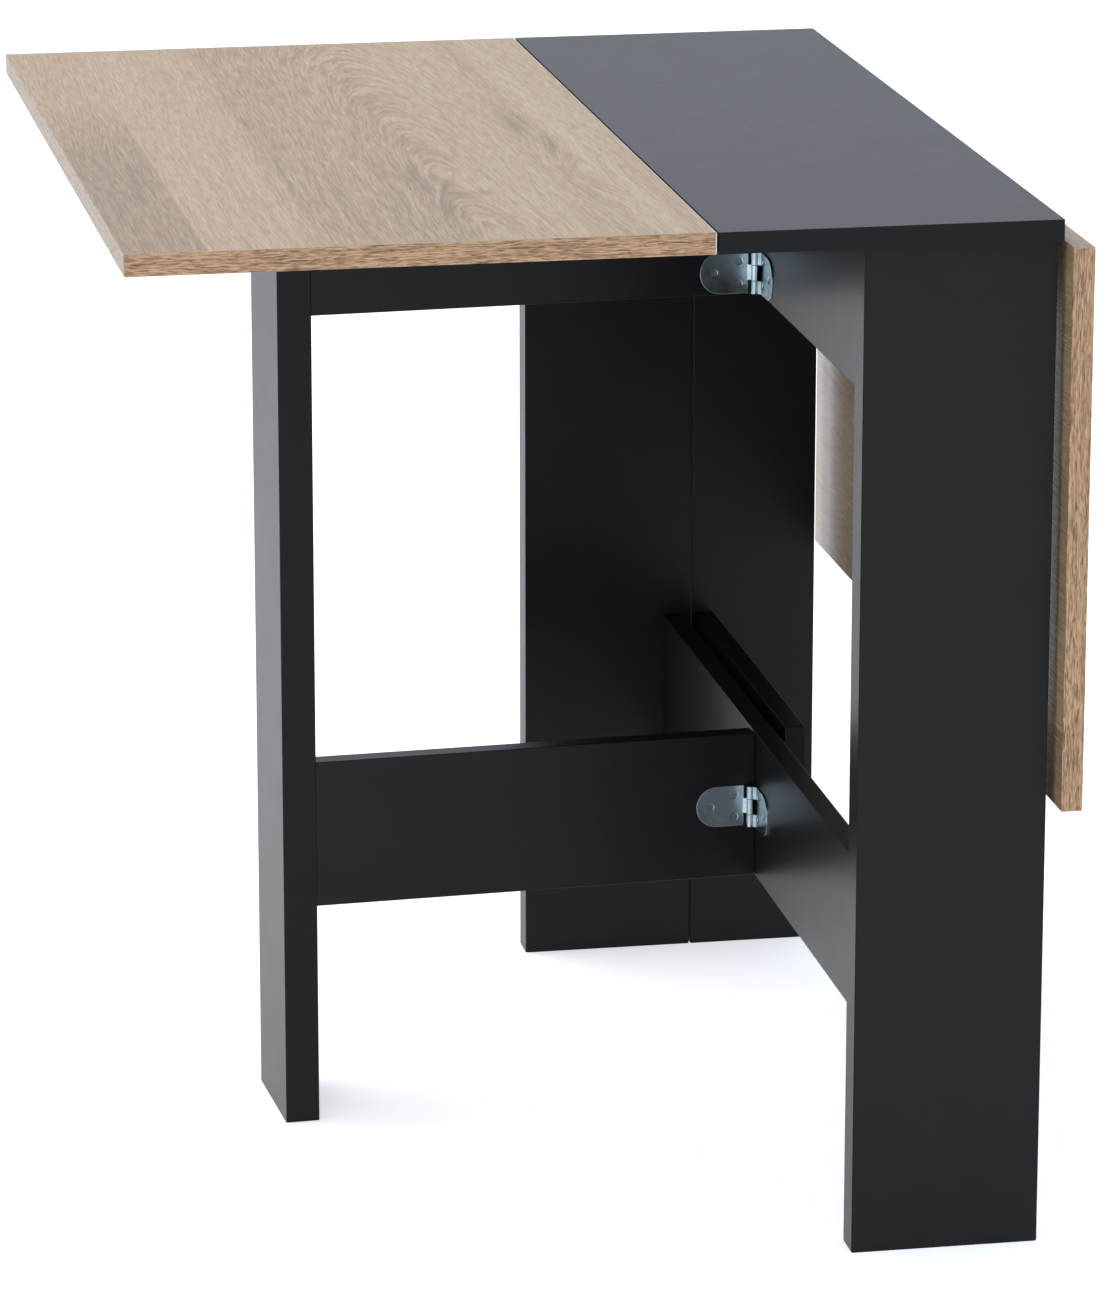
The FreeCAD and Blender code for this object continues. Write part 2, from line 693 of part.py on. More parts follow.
def make_leaf_board(leaf, frame):
    strip = SIZE["edging"]
    half_depth = SIZE["table_depth"] / 2
    inner = -SIZE["leaf_pivot_out"]
    bottom = SIZE["hinge_offset"]
    outer = inner + SIZE["leaf_width"] - strip
    board(
        leaf + "_panel",
        moved(frame, inner + strip, strip - half_depth, bottom),
        "leaf_width - 2 * edging",
        "table_depth - 2 * edging",
        "board",
    )
    sides = [
        box("leaf_side_strip", moved(frame, x, -half_depth, bottom), "edging", "table_depth", "board")
        for x in (inner, outer)
    ]
    group(leaf + "_side_edging", sides)
    length = "leaf_width - 2 * edging"
    ends = [
        box("leaf_end_strip", moved(frame, inner + strip, y, bottom), length, "edging", "board")
        for y in (-half_depth, half_depth - strip)
    ]
    group(leaf + "_end_edging", ends)


def make_leaf_hinges(leaf, frame):
    """Hinge plates under the top (outer knuckles) and under the leaf (middle knuckle)."""
    home = LEAF_HOMES[leaf]
    leaf_places = []
    top_places = []
    pins = []
    for step in (-1, 0, 1):
        y = step * SIZE["leaf_hinge_spacing"]
        leaf_hinge = hinge_frame(moved(frame, 0, y, 0), X_AXIS, Z_AXIS)
        top_hinge = hinge_frame(moved(home, 0, y, 0), -X_AXIS, Z_AXIS)
        leaf_places.append(leaf_hinge)
        top_places.append(top_hinge)
        screw_hinge(leaf_hinge, leaf + "_panel", leaf)
        screw_hinge(top_hinge, "center_top", "top")
        pins.append(hinge_pin("leaf_pin", top_hinge))
    copies(leaf + "_hinge_leaf_plates", inner_plate, leaf_places)
    copies(leaf + "_hinge_top_plates", outer_plate, top_places)
    group(leaf + "_hinge_pins", pins)


def place_fittings():
    originals = {
        "hinge_screws": screw,
        "dowels": dowel,
        "cam_locks": cam_lock,
        "cam_bolts": cam_bolt,
    }
    for (kind, owner), places in fittings.items():
        standing = [place.multiply(originals[kind].Placement) for place in places]
        copies(f"{owner}_{kind}", originals[kind], standing)


# ---------------------------------------------------------------- assembly and export


def check_document():
    for item in doc.Objects:
        if "Invalid" in item.State or "Error" in item.State:
            raise RuntimeError(f"{item.Label} failed: {item.State}")
    for name, part in nodes.items():
        if part.Shape.isNull() or not part.Shape.isValid():
            raise RuntimeError(f"{name} has no valid shape")
        if not part.Shape.Solids:
            raise RuntimeError(f"{name} holds no solid")


def check_bores():
    """Every bore has to take material away from its board."""
    for name, blank in blanks.items():
        if not bores[name]:
            continue
        wanted = sum(tool.Shape.common(blank.Shape).Volume for tool in bores[name])
        removed = blank.Shape.Volume - nodes[name].Shape.Volume
        if wanted <= 0 or removed <= 0:
            raise RuntimeError(f"{name}: the bores miss the board")
        for tool in bores[name]:
            if tool.Shape.common(blank.Shape).Volume < 0.5 * tool.Shape.Volume:
                raise RuntimeError(f"{name}: a bore misses the board")


def export():
    os.makedirs("parts", exist_ok=True)
    for name, part in nodes.items():
        part.Label = name
        part.Shape.exportStep(os.path.join("parts", name + ".step"))


make_top()
make_end_panels()
make_beams()
for gate_name, gate_place in GATES.items():
    make_gate_post(gate_name, gate_place)
    make_gate_rails(gate_name, gate_place)
    make_gate_hinges(gate_name, gate_place)
for leaf_name, leaf_place in LEAVES.items():
    make_leaf_board(leaf_name, leaf_place)
    make_leaf_hinges(leaf_name, leaf_place)
cut_bores()
place_fittings()
doc.recompute()
check_document()
check_bores()
export()
print(len(nodes), "nodes written")
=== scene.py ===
from collections import Counter
import math

import bpy
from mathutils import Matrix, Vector
from mathutils.bvhtree import BVHTree


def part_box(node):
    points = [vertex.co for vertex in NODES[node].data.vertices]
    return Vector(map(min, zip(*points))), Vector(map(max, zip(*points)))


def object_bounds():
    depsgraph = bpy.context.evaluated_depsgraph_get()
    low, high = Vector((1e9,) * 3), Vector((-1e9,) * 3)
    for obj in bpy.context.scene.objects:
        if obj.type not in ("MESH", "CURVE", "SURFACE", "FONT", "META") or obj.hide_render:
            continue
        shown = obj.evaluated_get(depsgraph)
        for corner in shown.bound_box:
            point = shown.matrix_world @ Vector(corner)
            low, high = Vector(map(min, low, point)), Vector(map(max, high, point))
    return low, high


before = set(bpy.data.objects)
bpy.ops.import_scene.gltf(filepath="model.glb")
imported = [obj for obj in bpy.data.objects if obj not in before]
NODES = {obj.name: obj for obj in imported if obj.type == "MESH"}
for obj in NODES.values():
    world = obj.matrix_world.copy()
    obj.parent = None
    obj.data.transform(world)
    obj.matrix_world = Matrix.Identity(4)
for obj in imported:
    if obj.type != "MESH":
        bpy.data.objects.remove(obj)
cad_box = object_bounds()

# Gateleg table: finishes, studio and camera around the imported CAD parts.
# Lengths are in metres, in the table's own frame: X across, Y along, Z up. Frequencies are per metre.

# ---------------------------------------------------------------- camera and studio
CAMERA_YAW = math.radians(10.53)
CAMERA_PITCH = math.radians(15.42)
CAMERA_DISTANCE = 4.6
CAMERA_AIM_OFFSET = Vector((0.022, -0.023, -0.012))
CAMERA_LENS = 175.2
CAMERA_SENSOR = 36.0

WORLD_COLOUR = (0.84, 0.89, 1.0)
WORLD_STRENGTH = 1.07
FLOOR_SIZE = 40.0
FLOOR_COLOUR = (0.79, 0.80, 0.81)
FLOOR_GLOW_COLOUR = (0.95, 0.97, 1.0)
FLOOR_GLOW = 0.50

# Softboxes, all aimed at LIGHT_AIM: name, place, size, power in watts, and colour.
LIGHT_AIM = (0.0, 0.0, 0.4)
SOFTBOXES = [
    ("key_light", (-1.8, 1.2, 3.2), (2.6, 2.6), 70.0, (1.0, 0.96, 0.90)),
    ("front_light", (-1.0, -3.6, 2.2), (2.0, 1.5), 25.0, (1.0, 0.98, 0.95)),
]

# ---------------------------------------------------------------- rounded edges
EDGE_ROUNDING = 0.00075
PLATE_ROUNDING = 0.0003
ROUNDING_SEGMENTS = 3
WOOD_CLEARANCE = 0.0003
SCREW_CLEARANCE = 0.0008
WOODEN = ("top", "panel", "beam", "rail", "post", "edging")

# ---------------------------------------------------------------- black laminates
# The deepest and the palest colour of each, and the frequencies of its pores along X, Y and Z.
BOARD_TONES = ((0.0045, 0.0046, 0.0052), (0.0075, 0.0077, 0.0086))
BOARD_PORES = (900.0, 900.0, 900.0)
TOP_TONES = ((0.0044, 0.0046, 0.0060), (0.0073, 0.0077, 0.0098))
TOP_PORES = (900.0, 260.0, 900.0)
STRIP_TONES = ((0.0024, 0.0024, 0.0027), (0.0044, 0.0044, 0.0048))
STRIP_PORES = (600.0, 600.0, 600.0)
BLACK_CLOUDS = 30.0
PORE_SHARE = 0.75  # of the tone; clouds have the rest
BLACK_ROUGHNESS = 0.34

# ---------------------------------------------------------------- metals and beech
ZINC_SHEET = (0.41, 0.50, 0.54)
# Darker than the sheet: zinc with painted shade, standing in for the shadow in the countersinks round
# the screw heads.
SHADED_SCREW_ZINC = (0.27, 0.31, 0.34)
STEEL_WIRE = (0.60, 0.62, 0.64)
ZINC_CASTING = (0.46, 0.47, 0.49)
# Dull and bright patches, as shares of the metal's own colour and roughness.
DULL_SHADE = 0.80
DULL_ROUGHNESS = 1.35
BRIGHT_ROUGHNESS = 0.75
# The fine ripple on the patches, as shares of their frequency and relief.
FINE_FREQUENCY = 9
FINE_RELIEF = 0.3

BEECH_TONES = ((0.45, 0.30, 0.18), (0.68, 0.50, 0.33))
BEECH_FLECKS = (900.0, 120.0, 900.0)
FLECK_DEPTH = 0.0001

# ---------------------------------------------------------------- edge strips printed as oak
# Dark, middle and pale colours, and the length and height of a dash.
EDGING_TONES = ((0.125, 0.063, 0.028), (0.308, 0.185, 0.096), (0.430, 0.287, 0.163))
EDGING_DASH = (0.0100, 0.0010)
CREAM_TONES = ((0.215, 0.165, 0.115), (0.305, 0.240, 0.172), (0.335, 0.265, 0.190))
CREAM_DASH = (0.012, 0.0012)
# Painted highlight: the pale line where leaf A's seam-side arris catches the light. The strip itself is
# the cream one.
SEAM_PAINTED_HIGHLIGHT = (0.66, 0.62, 0.57)
DASH_DEPTH = 0.00015
# Broad streaks lie under the dashes. Their frequencies are shares of the dashes' own.
STREAK_ALONG = 0.12
STREAK_THROUGH = 0.4
DASH_WEIGHT = 0.85
STREAK_WEIGHT = 0.30
STRIP_LEVEL = (1.0 - DASH_WEIGHT - STREAK_WEIGHT) / 2  # keeps the middle tone in the middle
STRIP_POSITIONS = (0.36, 0.50, 0.62)

# ---------------------------------------------------------------- oak print of the leaves
# Distances across and along a leaf are measured from its outer near corner.
OAK_TONES = ((0.200, 0.128, 0.070), (0.312, 0.215, 0.122), (0.445, 0.345, 0.212))
OAK_POSITIONS = (0.05, 0.50, 0.95)
LEAF_A_ROUGHNESS = 0.36
LEAF_B_ROUGHNESS = 0.23

# Growth rings arch over a heart line that runs along the leaf, and the rings open towards the near
# end. A knot widens them at one place, and a slow drift and a ripple bend them.
HEART_ACROSS = 0.250
HEART_DEPTH = 0.012
HEART_RISE = 0.075
KNOT_ALONG = 0.165
KNOT_LENGTH = 0.060
KNOT_DEPTH = 0.004
RING_DRIFT = 0.022
RING_RIPPLE = 0.0025

# Frequencies of the patterns that follow the growth: in growth, along and across.
BAND_FREQUENCIES = (60.0, 0.8, 9.0)
RING_FREQUENCIES = (260.0, 3.5, 14.0)
LINE_FREQUENCIES = (1300.0, 24.0, 40.0)
# Frequencies of the others: across and along.
DRIFT_FREQUENCIES = (6.0, 1.8)
RIPPLE_FREQUENCIES = (60.0, 22.0)
PORE_FREQUENCIES = (900.0, 45.0)

# Planks side by side: distance across, and tone.
OAK_PLANKS = [
    (0.000, 0.60), (0.118, 0.59), (0.145, 0.41), (0.235, 0.42),
    (0.262, 0.54), (0.315, 0.58), (0.337, 0.47), (0.356, 0.66), (0.388, 0.58),
]
PLANK_RAMP = 2.5  # brings the width of a leaf into the 0 to 1 of a colour ramp
PLANK_DRIFT = 0.012

# The plank along the outer edge has a crisp side, and darkens towards the near end.
EDGE_PLANK = 0.055
EDGE_PLANK_BLUR = 0.0005
EDGE_PLANK_FADE = (0.30, 0.55)
EDGE_PLANK_TONES = (-0.34, -0.05)

# Soft bands of rings on each plank, and the level that keeps its tone about as it is.
BAND_WEIGHT = 0.18
BAND_LEVEL = -0.095

# The rings stand out near the knot and fade along the leaf: distances along, and strengths. Their
# relief is a share of the lines' own.
RING_FADE = (0.20, 0.42)
RING_STRENGTHS = (0.09, 0.03)
RING_RELIEF = 0.3

# Embossed lines: what they add to the tone, dark and pale, the reach of their noise, the roughness
# they add, and their depth.
LINE_TONES = (-0.20, 0.17)
LINE_REACH = 0.13
LINE_DULLNESS = 0.08
LINE_DEPTH = 0.0002
# They stand out more on dark planks than on pale ones: tones of those planks, and strengths.
LINE_PLANKS = (0.42, 0.60)
LINE_STRENGTHS = (1.0, 0.4)

# Fine pores: what they add to the tone, dark and pale.
PORE_TONES = (-0.15, 0.12)

# Swellings that the rings bend round: centre across and along, half width, half length, height.
OAK_SWELLINGS = [
    (0.338, 0.220, 0.020, 0.130, 0.017),
    (0.022, 0.330, 0.018, 0.100, -0.009),
]

# Darker strokes, laid out the same way, with the change of tone last. They are strong on the dark
# rings and weak on the pale ones.
OAK_STROKES = [
    (0.332, 0.410, 0.006, 0.050, -0.40),
    (0.344, 0.325, 0.006, 0.050, -0.34),
    (0.228, 0.225, 0.006, 0.045, -0.32),
    (0.238, 0.178, 0.009, 0.018, -0.30),
    (0.264, 0.160, 0.020, 0.006, -0.32),
    (0.234, 0.115, 0.006, 0.040, -0.24),
    (0.048, 0.120, 0.006, 0.110, -0.16),
    (0.141, 0.300, 0.0025, 0.300, -0.14),
]
STROKE_STRENGTHS = (1.5, 0.4)


class Shader:
    """A material under construction: its Principled surface and the nodes that feed it."""

    def __init__(self, name, **sockets):
        self.material = bpy.data.materials.new(name)
        self.material.use_nodes = True
        self.nodes = self.material.node_tree.nodes
        self.links = self.material.node_tree.links
        self.surface = self.nodes["Principled BSDF"]
        for socket, value in sockets.items():
            self.surface.inputs[socket.replace("_", " ")].default_value = value

    def feed(self, socket, value):
        """Connects an output, or sets a plain value."""
        if isinstance(value, bpy.types.NodeSocket):
            self.links.new(value, socket)
        else:
            socket.default_value = value

    def node(self, kind, *values, **settings):
        made = self.nodes.new(kind)
        for name, setting in settings.items():
            setattr(made, name, setting)
        for socket, value in zip(made.inputs, values):
            self.feed(socket, value)
        return made

    def place(self):
        """The point in the table's frame, as separate X, Y and Z."""
        coordinates = self.node("ShaderNodeTexCoord").outputs["Object"]
        return self.node("ShaderNodeSeparateXYZ", coordinates).outputs

    def math(self, operation, *values):
        return self.node("ShaderNodeMath", *values, operation=operation).outputs[0]

    def scaled(self, value, factor, offset=0.0):
        """Value times factor, plus offset. Each is an output or a plain number."""
        return self.math("MULTIPLY_ADD", value, factor, offset)

    def summed(self, *terms, level=0.0):
        """The level, plus each value times its weight."""
        total = level
        for value, weight in terms:
            total = self.scaled(value, weight, total)
        return total

    def stretched(self, axes, frequencies, layer=0.0):
        """A point whose axes are distances times their frequencies.

        With two axes, layer is the third, and sets apart the patterns that share the first two.
        """
        scaled = [self.scaled(distance, frequency) for distance, frequency in zip(axes, frequencies)]
        x, y, z = scaled if len(scaled) == 3 else (*scaled, layer)
        return self.node("ShaderNodeCombineXYZ", x, y, z).outputs[0]

    def enlarged(self, place, frequency):
        """A point with the same frequency along all three axes."""
        return self.stretched(place, (frequency, frequency, frequency))

    def noise(self, vector, detail=2.0, roughness=0.5, distortion=0.0):
        made = self.node("ShaderNodeTexNoise")
        self.feed(made.inputs["Vector"], vector)
        made.inputs["Scale"].default_value = 1.0
        made.inputs["Detail"].default_value = detail
        made.inputs["Roughness"].default_value = roughness
        made.inputs["Distortion"].default_value = distortion
        return made.outputs[0]

    def between(self, value, low, high, to_low, to_high):
        """Value from low to high, mapped to the range to_low to to_high and held there."""
        return self.node("ShaderNodeMapRange", value, low, high, to_low, to_high).outputs[0]

    def contrast(self, noise, to_low, to_high, reach=0.2):
        """Noise within reach of its middle value, mapped to the range to_low to to_high."""
        return self.between(noise, 0.5 - reach, 0.5 + reach, to_low, to_high)

    def ramp(self, value, colours, positions=(0.35, 0.65)):
        """Colour along value, with each colour at its position."""
        made = self.node("ShaderNodeValToRGB", value)
        elements = made.color_ramp.elements
        while len(elements) < len(colours):
            elements.new(0.5)
        for element, position, colour in zip(elements, positions, colours):
            element.position = position
            element.color = (*colour, 1.0)
        return made.outputs["Color"]

    def mixed(self, choice, first, second):
        """The colour output first where choice is 0, and the plain colour second where it is 1."""
        made = self.node("ShaderNodeMix", data_type="RGBA")
        colours = [socket for socket in made.inputs if socket.type == "RGBA"]
        self.feed(made.inputs["Factor"], choice)
        self.feed(colours[0], first)
        self.feed(colours[1], (*second, 1.0))
        return next(socket for socket in made.outputs if socket.type == "RGBA")

    def bump(self, height, distance, strength=1.0):
        made = self.node("ShaderNodeBump")
        self.feed(made.inputs["Height"], height)
        made.inputs["Distance"].default_value = distance
        made.inputs["Strength"].default_value = strength
        self.feed(self.surface.inputs["Normal"], made.outputs["Normal"])

    def colour(self, value):
        self.feed(self.surface.inputs["Base Color"], value)

    def roughness(self, value):
        self.feed(self.surface.inputs["Roughness"], value)


def black_melamine(name, tones, pores, mottle, pore_depth):
    """Satin black laminate: fine pores over faint clouds, and a roughness that varies by mottle."""
    shader = Shader(name, Specular_IOR_Level=0.16)
    place = shader.place()
    clouds = shader.noise(shader.enlarged(place, BLACK_CLOUDS), detail=3.0)
    fine = shader.noise(shader.stretched(place, pores), detail=3.0, roughness=0.6)
    tone = shader.summed((fine, PORE_SHARE), (clouds, 1 - PORE_SHARE))
    shader.colour(shader.ramp(tone, tones))
    shader.roughness(shader.contrast(tone, BLACK_ROUGHNESS - mottle, BLACK_ROUGHNESS + mottle))
    shader.bump(fine, pore_depth)
    return shader.material


def black_board():
    return black_melamine(
        "black_board_melamine", BOARD_TONES, BOARD_PORES, mottle=0.03, pore_depth=0.00002)


def black_top():
    return black_melamine("black_top_melamine", TOP_TONES, TOP_PORES, mottle=0.03, pore_depth=0.00002)


def black_edging():
    return black_melamine("black_edge_strip", STRIP_TONES, STRIP_PORES, mottle=0.04, pore_depth=0.00003)


def bell(shader, across, along, figure):
    """A stretched bell over one figure, as high as its last number."""
    centre_across, centre_along, half_width, half_length, height = figure
    side = shader.scaled(across, 1 / half_width, -centre_across / half_width)
    length = shader.scaled(along, 1 / half_length, -centre_along / half_length)
    square = shader.math("MULTIPLY_ADD", side, side, shader.math("MULTIPLY", length, length))
    fall = shader.math("EXPONENT", shader.math("MULTIPLY", square, -1.0))
    return shader.math("MULTIPLY", fall, height)


def knot_bell(shader, along):
    """A bell along the leaf, centred on the knot and 1 high."""
    reach = shader.scaled(along, 1 / KNOT_LENGTH, -KNOT_ALONG / KNOT_LENGTH)
    return shader.math("EXPONENT", shader.scaled(shader.math("MULTIPLY", reach, reach), -1.0))


def oak_growth(shader, across, along, drift):
    """Depth into the growth rings at one point of the print."""
    side = shader.math("SUBTRACT", across, HEART_ACROSS)
    knot = knot_bell(shader, along)
    depth = shader.summed((along, HEART_RISE), (knot, KNOT_DEPTH), level=HEART_DEPTH)
    square = shader.math("MULTIPLY_ADD", side, side, shader.math("MULTIPLY", depth, depth))
    growth = shader.scaled(drift, RING_DRIFT, shader.math("SQRT", square))
    for figure in OAK_SWELLINGS:
        growth = shader.math("ADD", growth, bell(shader, across, along, figure))
    ripple = shader.noise(shader.stretched((across, along), RIPPLE_FREQUENCIES, layer=3.0))
    return shader.scaled(ripple, RING_RIPPLE, growth)


def oak_planks(shader, across, along, drift):
    """Tone of the plank at one point of the print."""
    wandering = shader.summed((across, 1.0), (drift, PLANK_DRIFT), level=-PLANK_DRIFT / 2)
    positions = [PLANK_RAMP * place for place, _ in OAK_PLANKS]
    greys = [(tone, tone, tone) for _, tone in OAK_PLANKS]
    planks = shader.ramp(shader.scaled(wandering, PLANK_RAMP), greys, positions)
    edge_start = EDGE_PLANK - EDGE_PLANK_BLUR
    edge_plank = shader.between(across, edge_start, EDGE_PLANK + EDGE_PLANK_BLUR, 1.0, 0.0)
    darkening = shader.between(along, *EDGE_PLANK_FADE, *EDGE_PLANK_TONES)
    return shader.scaled(edge_plank, darkening, planks)


def oak_tone(shader, across, along, planks, growth, rings, lines):
    """Tone of the print, from 0, dark, to 1, pale."""
    bands = shader.noise(shader.stretched((growth, along, across), BAND_FREQUENCIES))
    tone = shader.summed((planks, 1.0), (bands, BAND_WEIGHT), level=BAND_LEVEL)
    ring_strength = shader.between(along, *RING_FADE, *RING_STRENGTHS)
    tone = shader.scaled(shader.contrast(rings, -1.0, 1.0, reach=0.12), ring_strength, tone)
    stroke_strength = shader.contrast(rings, *STROKE_STRENGTHS, reach=0.10)
    for stroke in OAK_STROKES:
        tone = shader.scaled(bell(shader, across, along, stroke), stroke_strength, tone)
    line_strength = shader.between(planks, *LINE_PLANKS, *LINE_STRENGTHS)
    tone = shader.scaled(shader.contrast(lines, *LINE_TONES, reach=LINE_REACH), line_strength, tone)
    pores = shader.noise(shader.stretched((across, along), PORE_FREQUENCIES, layer=4.0), detail=1.0)
    return shader.math("ADD", tone, shader.contrast(pores, *PORE_TONES, reach=0.15))


def oak_decor(name, across_axis, low, rough):
    """Printed oak: planks, growth rings over a heart line, and embossed lines along the leaf.

    across_axis is the axis that runs across the leaf, low the leaf's outer near corner, and rough
    the roughness between its lines.
    """
    shader = Shader(name, Specular_IOR_Level=0.4)
    place = shader.place()
    across = shader.math("SUBTRACT", place[across_axis], low[across_axis])
    along = shader.math("SUBTRACT", place[1], low.y)
    drift = shader.noise(shader.stretched((across, along), DRIFT_FREQUENCIES))
    growth = oak_growth(shader, across, along, drift)
    planks = oak_planks(shader, across, along, drift)
    grain = (growth, along, across)
    rings = shader.noise(shader.stretched(grain, RING_FREQUENCIES), roughness=0.55)
    lines = shader.noise(shader.stretched(grain, LINE_FREQUENCIES), roughness=0.6)
    tone = oak_tone(shader, across, along, planks, growth, rings, lines)
    shader.colour(shader.ramp(tone, OAK_TONES, OAK_POSITIONS))
    shader.roughness(shader.contrast(lines, rough + LINE_DULLNESS, rough, reach=LINE_REACH))
    shader.bump(shader.scaled(rings, RING_RELIEF, lines), LINE_DEPTH, strength=0.7)
    return shader.material


def oak_strip(name, along, through, tones, dash, seam=None):
    """Edge strip printed as oak: short wavy dashes along the strip.

    tones are its dark, middle and pale colours, and dash is a dash's length and height. Past seam, an
    axis and a distance along it,
    the strip is painted one pale colour: a painted highlight where its arris along the centre top
    catches the light.
    """
    shader = Shader(name, Specular_IOR_Level=0.4)
    place = shader.place()
    axes = (place[along], place[through])
    length, height = dash
    dash_point = shader.stretched(axes, (1 / length, 1 / height), layer=2.0)
    dashes = shader.noise(dash_point, detail=2.5, roughness=0.6, distortion=0.8)
    streak_frequencies = (STREAK_ALONG / length, STREAK_THROUGH / height)
    streaks = shader.noise(shader.stretched(axes, streak_frequencies, layer=6.0))
    tone = shader.summed((dashes, DASH_WEIGHT), (streaks, STREAK_WEIGHT), level=STRIP_LEVEL)
    printed = shader.ramp(tone, tones, STRIP_POSITIONS)
    if seam:
        axis, start = seam
        # Past the seam the strip is painted the pale highlight of its lit arris.
        printed = shader.mixed(shader.math("GREATER_THAN", place[axis], start), printed, SEAM_PAINTED_HIGHLIGHT)
    shader.colour(printed)
    shader.roughness(shader.contrast(dashes, 0.55, 0.42))
    shader.bump(dashes, DASH_DEPTH, strength=0.6)
    return shader.material


def plated_metal(name, colour, roughness, spangle, ripple):
    """Zinc or bright steel: dull and bright patches at the frequency spangle, and a slight ripple."""
    shader = Shader(name, Metallic=1.0)
    place = shader.place()
    patches = shader.noise(shader.enlarged(place, spangle), detail=3.0, roughness=0.6)
    fine = shader.noise(shader.enlarged(place, spangle * FINE_FREQUENCY))
    dull_colour = tuple(channel * DULL_SHADE for channel in colour)
    shader.colour(shader.ramp(patches, (dull_colour, colour)))
    dull_patch = roughness * DULL_ROUGHNESS
    bright_patch = roughness * BRIGHT_ROUGHNESS
    shader.roughness(shader.contrast(patches, dull_patch, bright_patch))
    shader.bump(shader.scaled(fine, FINE_RELIEF, patches), ripple)
    return shader.material


def zinc_sheet():
    return plated_metal("zinc_plated_sheet", ZINC_SHEET, roughness=0.21, spangle=60.0, ripple=0.00006)


def zinc_screws():
    # The screws' darker zinc is partly painted shade for the shadows in their countersinks.
    return plated_metal("zinc_screws_painted_shade", SHADED_SCREW_ZINC, roughness=0.30, spangle=400.0, ripple=0.00002)


def steel_pins():
    return plated_metal("bright_steel_wire", STEEL_WIRE, roughness=0.22, spangle=500.0, ripple=0.00002)


def zinc_cast():
    return plated_metal("die_cast_zinc", ZINC_CASTING, roughness=0.45, spangle=600.0, ripple=0.0002)


def beech():
    """Plain turned beech with short flecks along the dowel's length."""
    shader = Shader("plain_beech", Specular_IOR_Level=0.3)
    flecks = shader.noise(shader.stretched(shader.place(), BEECH_FLECKS))
    shader.colour(shader.ramp(flecks, BEECH_TONES, positions=(0.35, 0.6)))
    shader.roughness(shader.contrast(flecks, 0.7, 0.55))
    shader.bump(flecks, FLECK_DEPTH)
    return shader.material


def paint(node, material):
    """Gives a CAD node one procedural material."""
    materials = NODES[node].data.materials
    materials.clear()
    materials.append(material)


def paint_frame():
    """Paints every node whose slot has one material wherever it is: all but the oak."""
    by_slot = {
        "black_board": black_board(),
        "black_top": black_top(),
        "black_edging": black_edging(),
        "zinc_sheet": zinc_sheet(),
        "zinc_screws": zinc_screws(),
        "steel_pins": steel_pins(),
        "zinc_cast": zinc_cast(),
        "beech": beech(),
    }
    for name, node in NODES.items():
        slot = node.data.materials[0].name
        if slot in by_slot:
            paint(name, by_slot[slot])


def paint_leaf_a():
    """Leaf A lies flat: across is X from its outer edge, and along is Y from its near end."""
    low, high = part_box("leaf_a_panel")
    seam = (0, (low.x + high.x) / 2)
    paint("leaf_a_panel", oak_decor("leaf_a_oak", 0, low, LEAF_A_ROUGHNESS))
    paint("leaf_a_end_edging", oak_strip("leaf_a_end_strip", 0, 2, EDGING_TONES, EDGING_DASH))
    # The seam-side half of this strip carries a painted highlight.
    paint("leaf_a_side_edging", oak_strip("leaf_a_side_strip", 1, 2, CREAM_TONES, CREAM_DASH, seam))


def paint_leaf_b():
    """Leaf B hangs: across is Z from its lower edge, and along is Y from its near end."""
    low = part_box("leaf_b_panel")[0]
    paint("leaf_b_panel", oak_decor("leaf_b_oak", 2, low, LEAF_B_ROUGHNESS))
    paint("leaf_b_end_edging", oak_strip("leaf_b_end_strip", 2, 0, EDGING_TONES, EDGING_DASH))
    paint("leaf_b_side_edging", oak_strip("leaf_b_side_strip", 1, 0, CREAM_TONES, CREAM_DASH))


def surface_tree(node):
    mesh = NODES[node].data
    points = [vertex.co for vertex in mesh.vertices]
    return BVHTree.FromPolygons(points, [tuple(polygon.vertices) for polygon in mesh.polygons])


def round_edges(node, width, neighbours, clearance):
    """Rounds the sharp edges of a CAD piece, apart from those that lie close to its neighbours.

    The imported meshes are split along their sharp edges, so a sharp edge has one face only.
    """
    mesh = NODES[node].data
    faces_at = Counter(key for polygon in mesh.polygons for key in polygon.edge_keys)
    weights = mesh.attributes.new("bevel_weight_edge", "FLOAT", "EDGE")
    for edge, weight in zip(mesh.edges, weights.data):
        start, end = (mesh.vertices[index].co for index in edge.vertices)
        middle = (start + end) / 2
        touched = any(tree.find_nearest(middle, clearance)[0] for tree in neighbours)
        weight.value = 0.0 if touched or faces_at[edge.key] > 1 else 1.0
    weld = NODES[node].modifiers.new("weld", "WELD")
    weld.merge_threshold = width / 100
    bevel = NODES[node].modifiers.new("rounding", "BEVEL")
    bevel.width = width
    bevel.segments = ROUNDING_SEGMENTS
    bevel.limit_method = "WEIGHT"
    bevel.use_clamp_overlap = True
    NODES[node].modifiers.new("normals", "WEIGHTED_NORMAL").keep_sharp = True


def round_table_edges():
    """Rounds the arrises of the edge strips, and the hinge plates' edges away from the screws."""
    wooden = {name: surface_tree(name) for name in NODES if name.endswith(WOODEN)}
    screws = [surface_tree(name) for name in NODES if name.endswith("screws")]
    for name in NODES:
        if name.endswith("edging"):
            others = [tree for other, tree in wooden.items() if other != name]
            round_edges(name, EDGE_ROUNDING, others, WOOD_CLEARANCE)
        elif name.endswith(("plate", "plates")):
            round_edges(name, PLATE_ROUNDING, screws, SCREW_CLEARANCE)


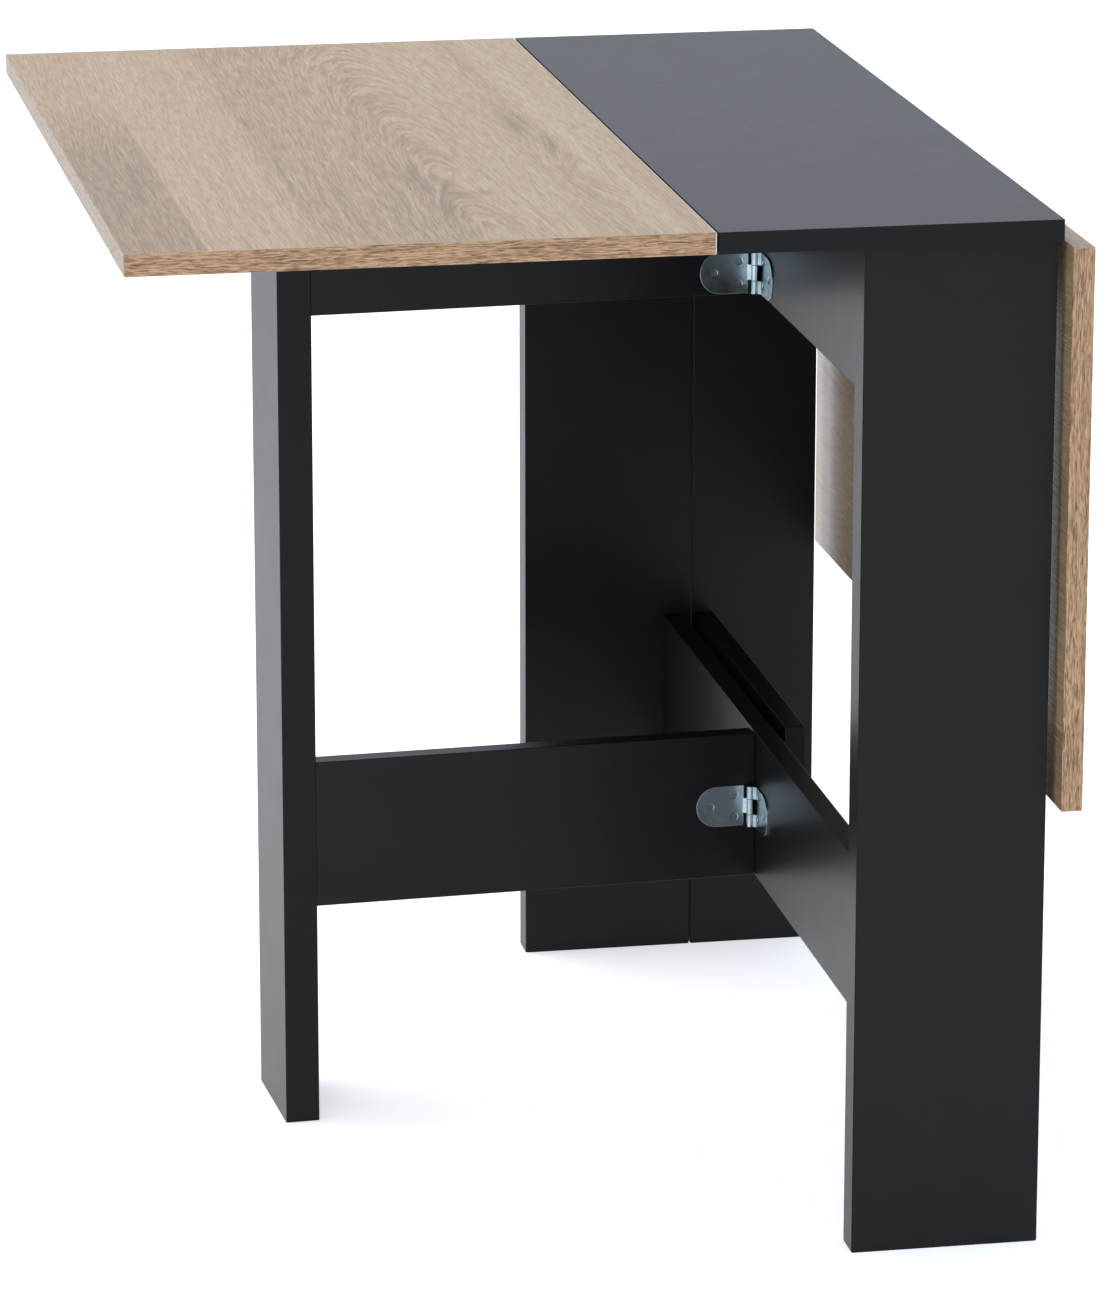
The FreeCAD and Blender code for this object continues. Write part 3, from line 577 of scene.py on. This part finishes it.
def studio_floor():
    mesh = bpy.data.meshes.new("studio_floor")
    half = FLOOR_SIZE / 2
    corners = [(-half, -half, 0), (half, -half, 0), (half, half, 0), (-half, half, 0)]
    mesh.from_pydata(corners, [], [(0, 1, 2, 3)])
    floor = bpy.data.objects.new("studio_floor", mesh)
    bpy.context.scene.collection.objects.link(floor)
    shader = Shader("floor_paint", Roughness=0.9, Specular_IOR_Level=0.0)
    shader.colour((*FLOOR_COLOUR, 1.0))
    shader.surface.inputs["Emission Color"].default_value = (*FLOOR_GLOW_COLOUR, 1.0)
    shader.surface.inputs["Emission Strength"].default_value = FLOOR_GLOW
    mesh.materials.append(shader.material)


def softbox(name, spot, size, power, colour):
    light = bpy.data.lights.new(name, "AREA")
    light.shape = "RECTANGLE"
    light.size, light.size_y = size
    light.energy = power
    light.color = colour
    box = bpy.data.objects.new(name, light)
    box.location = spot
    facing = Vector(LIGHT_AIM) - Vector(spot)
    box.rotation_euler = facing.to_track_quat("-Z", "Y").to_euler()
    bpy.context.scene.collection.objects.link(box)


def studio_light():
    world = bpy.data.worlds.new("studio_world")
    world.use_nodes = True
    background = world.node_tree.nodes["Background"]
    background.inputs["Color"].default_value = (*WORLD_COLOUR, 1.0)
    background.inputs["Strength"].default_value = WORLD_STRENGTH
    bpy.context.scene.world = world
    for settings in SOFTBOXES:
        softbox(*settings)


def studio_camera():
    camera_data = bpy.data.cameras.new("camera")
    camera_data.lens = CAMERA_LENS
    camera_data.sensor_width = CAMERA_SENSOR
    camera = bpy.data.objects.new("camera", camera_data)
    bpy.context.scene.collection.objects.link(camera)
    low, high = cad_box
    aim = (low + high) / 2 + CAMERA_AIM_OFFSET
    forward = Vector((
        math.sin(CAMERA_YAW) * math.cos(CAMERA_PITCH),
        math.cos(CAMERA_YAW) * math.cos(CAMERA_PITCH),
        -math.sin(CAMERA_PITCH),
    ))
    camera.location = aim - forward * CAMERA_DISTANCE
    camera.rotation_euler = (math.pi / 2 - CAMERA_PITCH, 0.0, -CAMERA_YAW)
    bpy.context.scene.camera = camera


bpy.context.scene.view_settings.view_transform = "Standard"
paint_frame()
paint_leaf_a()
paint_leaf_b()
round_table_edges()
studio_floor()
studio_light()
studio_camera()
